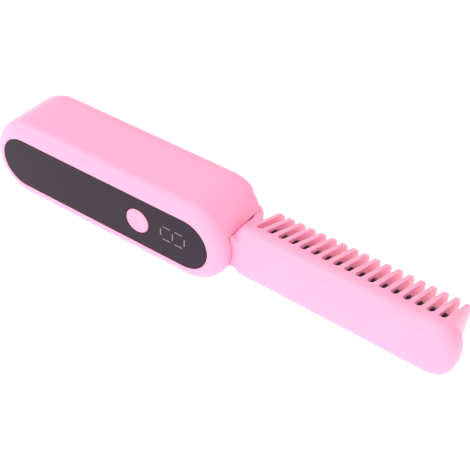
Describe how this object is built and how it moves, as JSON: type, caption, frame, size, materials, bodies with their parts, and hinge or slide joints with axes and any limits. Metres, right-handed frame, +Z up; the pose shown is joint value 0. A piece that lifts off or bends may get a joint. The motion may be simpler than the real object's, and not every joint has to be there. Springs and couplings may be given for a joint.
{
  "type": "folding heated hair comb",
  "caption": "Cordless heated hair comb: a long round-ended handle with a flush display panel and push button, and a finned comb that folds into its back.",
  "frame": {"origin": "middle of the footprint on the handle side that it lies on, at the height of that side", "axes": "+X from the handle towards the comb, +Y from the control panel towards the back, +Z up, along the fold hinge"},
  "size_m": [0.217, 0.037, 0.0362],
  "materials": {
    "pink_casing": "satin",
    "pink_comb": "satin",
    "pink_button": "gloss",
    "black_panel": "gloss",
    "display_grey": "satin",
    "foam": "matte",
    "dark_plastic": "matte",
    "circuit_board": "satin",
    "cell_foil": "satin",
    "steel": "satin",
    "brass": "satin",
    "bearing_plastic": "satin",
    "red_wire": "satin",
    "black_wire": "satin",
    "silicone_wire": "satin",
    "hot_bar_black": "gloss",
    "heater_ceramic": "matte",
    "insulating_film": "gloss"
  },
  "bodies": {
    "handle": {"handle_shell_upper": "pink_casing", "handle_shell_lower": "pink_casing", "shell_tie_plates": "steel", "shell_tie_screws": "steel", "control_panel": "black_panel", "display_segments": "display_grey", "panel_gasket": "foam", "display_module": "dark_plastic", "power_switch": "dark_plastic", "main_board": "circuit_board", "board_screws": "steel", "board_components": "dark_plastic", "battery_upper": "cell_foil", "battery_lower": "cell_foil", "battery_pads": "foam", "charge_board": "circuit_board", "charge_port": "steel", "battery_leads_red": "red_wire", "battery_leads_black": "black_wire", "charge_lead": "silicone_wire", "hinge_bushes": "bearing_plastic", "heater_lead_handle": "silicone_wire"},
    "power_button": {"power_button": "pink_button"},
    "comb": {"comb_shell": "pink_comb", "comb_teeth": "pink_comb", "heating_bar": "hot_bar_black", "heater_pills": "heater_ceramic", "heater_electrodes": "brass", "heater_film": "insulating_film", "heater_clip": "steel", "thermal_fuse": "bearing_plastic", "temperature_sensor": "dark_plastic", "heater_lead_comb": "silicone_wire", "hinge_tube": "steel", "friction_washers": "steel"}
  },
  "joints": [
    {"name": "comb_hinge", "type": "hinge", "parent": "handle", "child": "comb", "pos_m": [0.00439, 0.00344, 0.0181], "axis": [0, 0, 1], "range_deg": [0, 180.7]},
    {"name": "power_button_press", "type": "slide", "parent": "handle", "child": "power_button", "axis": [0, 1, 0], "range_m": [0, 0.00035], "stiffness_N_per_m": 1500, "springref_m": -0.0007}
  ]
}
